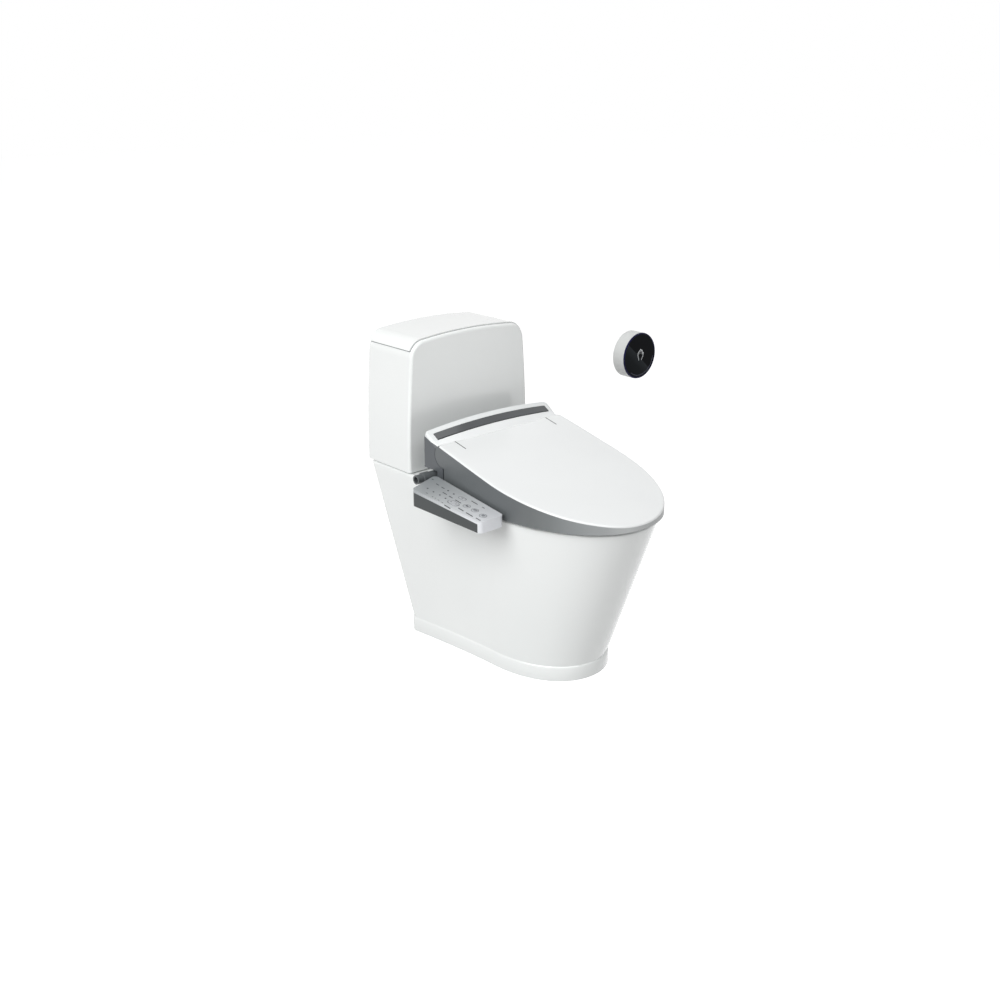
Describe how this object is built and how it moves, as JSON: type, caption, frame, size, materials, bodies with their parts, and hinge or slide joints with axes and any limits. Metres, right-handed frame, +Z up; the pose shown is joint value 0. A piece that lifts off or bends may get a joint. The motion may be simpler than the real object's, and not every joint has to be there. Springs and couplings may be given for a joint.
{
  "type": "smart toilet with heated washing seat",
  "caption": "Skirted two-piece toilet with arched tank, heated bidet seat, sloping lid, side control arm and a round wall flush sensor.",
  "frame": {"origin": "on the floor, at the centre of the waste outlet under the bowl", "axes": "+X to the viewer's right, the front of the bowl faces -Y and the tank's back faces the wall at +Y, +Z up"},
  "size_m": [1.0893, 0.732, 0.7305],
  "materials": {
    "white_china": "glossy white glaze",
    "graphite_shell": "satin graphite",
    "pale_cover": "satin pale grey",
    "white_trim": "gloss white",
    "dark_window": "smoked window",
    "white_lid": "gloss white",
    "band_shell": "graphite fading to pale grey",
    "white_seat": "gloss white",
    "silver_cover": "silver satin",
    "arm_shell": "satin graphite",
    "key_cap": "silver gloss",
    "light_dot": "translucent",
    "black_fitting": "matte black",
    "grey_fitting": "matte grey",
    "white_fitting": "matte white",
    "blue_fitting": "matte blue",
    "soft_rubber": "black rubber",
    "pale_rubber": "pale grey rubber",
    "steel": "stainless steel",
    "board_green": "circuit board",
    "heating_foil": "foil",
    "black_glass": "black glass-like face",
    "blue_ring": "deep blue light ring",
    "sensor_white": "gloss white"
  },
  "bodies": {
    "base": {"pedestal_skirt": "white_china", "rim_deck": "white_china", "bowl_basin": "white_china", "water_ways": "white_china", "tank_body": "white_china", "tank_gasket": "soft_rubber", "tank_bolts": "steel", "flush_tower": "white_fitting", "tank_locknuts": "white_fitting", "fill_valve": "grey_fitting", "flush_actuator": "grey_fitting", "receiver_box": "white_fitting", "outlet_seal": "soft_rubber", "floor_brackets": "steel", "floor_screws": "steel", "seat_mounting_plate": "steel", "seat_mounting_bolts": "steel", "housing_chassis": "graphite_shell", "housing_top_cover": "pale_cover", "housing_front_trim": "white_trim", "indicator_window": "dark_window", "water_heater": "white_fitting", "inlet_valve": "black_fitting", "inlet_connector": "black_fitting", "control_board": "board_green", "dryer_blower": "grey_fitting", "nozzle_cradle": "grey_fitting", "hinge_pins": "steel", "soft_close_dampers": "black_fitting", "arm_cover": "silver_cover", "arm_body": "arm_shell", "arm_board": "board_green", "status_lights": "light_dot", "sensor_wall_plate": "black_fitting", "sensor_housing": "sensor_white", "sensor_light_ring": "blue_ring", "sensor_glass": "black_glass", "sensor_board": "board_green", "sensor_batteries": "grey_fitting"},
    "lid": {"lid_panel": "white_lid", "lid_side_band": "band_shell", "lid_bumpers": "pale_rubber"},
    "seat": {"seat_top": "white_seat", "seat_bridge": "white_seat", "seat_base": "white_seat", "seat_heater": "heating_foil", "seat_bumpers": "pale_rubber"},
    "tank_cover": {"tank_lid": "white_china"},
    "canister": {"flush_canister": "blue_fitting"},
    "lever": {"flush_lever": "black_fitting"},
    "float": {"fill_float": "black_fitting"},
    "fan": {"dryer_fan": "black_fitting"},
    "flap": {"dryer_flap": "grey_fitting"},
    "rear_wash_arm": {"rear_nozzle": "white_fitting"},
    "front_wash_arm": {"front_nozzle": "white_fitting"},
    "rear_key": {"key_rear_wash": "key_cap"},
    "front_key": {"key_front_wash": "key_cap"},
    "dryer_key": {"key_dryer": "key_cap"},
    "stop_key": {"key_stop": "key_cap"},
    "rocker": {"rocker_key": "key_cap"}
  },
  "joints": [
    {"name": "lid_hinge", "type": "hinge", "parent": "base", "child": "lid", "pos_m": [0, 0.005, 0.49], "axis": [-1, 0, 0], "range_deg": [0, 100]},
    {"name": "seat_hinge", "type": "hinge", "parent": "base", "child": "seat", "pos_m": [0, 0.005, 0.49], "axis": [-1, 0, 0], "range_deg": [0, 95]},
    {"name": "tank_lid_lift", "type": "slide", "parent": "base", "child": "tank_cover", "axis": [0, 0, 1], "range_m": [0, 0.15]},
    {"name": "flush_lever_swing", "type": "hinge", "parent": "base", "child": "lever", "pos_m": [0.038, 0.2, 0.632], "axis": [0, 1, 0], "range_deg": [0, 28]},
    {"name": "canister_lift", "type": "slide", "parent": "base", "child": "canister", "axis": [0, 0, 1], "range_m": [0, 0.0205]},
    {"name": "float_drop", "type": "slide", "parent": "base", "child": "float", "axis": [0, 0, -1], "range_m": [0, 0.055]},
    {"name": "dryer_fan_spin", "type": "hinge", "parent": "base", "child": "fan", "pos_m": [0.112, 0.045, 0.436], "axis": [0, 1, 0], "continuous": true},
    {"name": "dryer_flap_swing", "type": "hinge", "parent": "base", "child": "flap", "pos_m": [0.072, -0.0626, 0.428], "axis": [-1, 0, 0], "range_deg": [0, 60]},
    {"name": "rear_nozzle_slide", "type": "slide", "parent": "base", "child": "rear_wash_arm", "axis": [0, -0.9063, -0.4226], "range_m": [0, 0.085]},
    {"name": "front_nozzle_slide", "type": "slide", "parent": "base", "child": "front_wash_arm", "axis": [0, -0.9063, -0.4226], "range_m": [0, 0.085]},
    {"name": "rear_key_press", "type": "slide", "parent": "base", "child": "rear_key", "axis": [0, 0.1318, -0.9913], "range_m": [0, 0.0008], "stiffness_N_per_m": 120},
    {"name": "front_key_press", "type": "slide", "parent": "base", "child": "front_key", "axis": [0, 0.1318, -0.9913], "range_m": [0, 0.0008], "stiffness_N_per_m": 120},
    {"name": "dryer_key_press", "type": "slide", "parent": "base", "child": "dryer_key", "axis": [0, 0.1318, -0.9913], "range_m": [0, 0.0008], "stiffness_N_per_m": 120},
    {"name": "stop_key_press", "type": "slide", "parent": "base", "child": "stop_key", "axis": [0, 0.1318, -0.9913], "range_m": [0, 0.0008], "stiffness_N_per_m": 120},
    {"name": "rocker_tilt", "type": "hinge", "parent": "base", "child": "rocker", "pos_m": [-0.253, -0.1076, 0.42566], "axis": [1, 0, 0], "range_deg": [-3, 3], "stiffness_Nm_per_rad": 0.01}
  ],
  "couplings": [
    {"joint": "seat_hinge", "follows": "lid_hinge", "ratio": 0.95},
    {"joint": "flush_lever_swing", "follows": "canister_lift", "rad_per_m": 23.839}
  ]
}
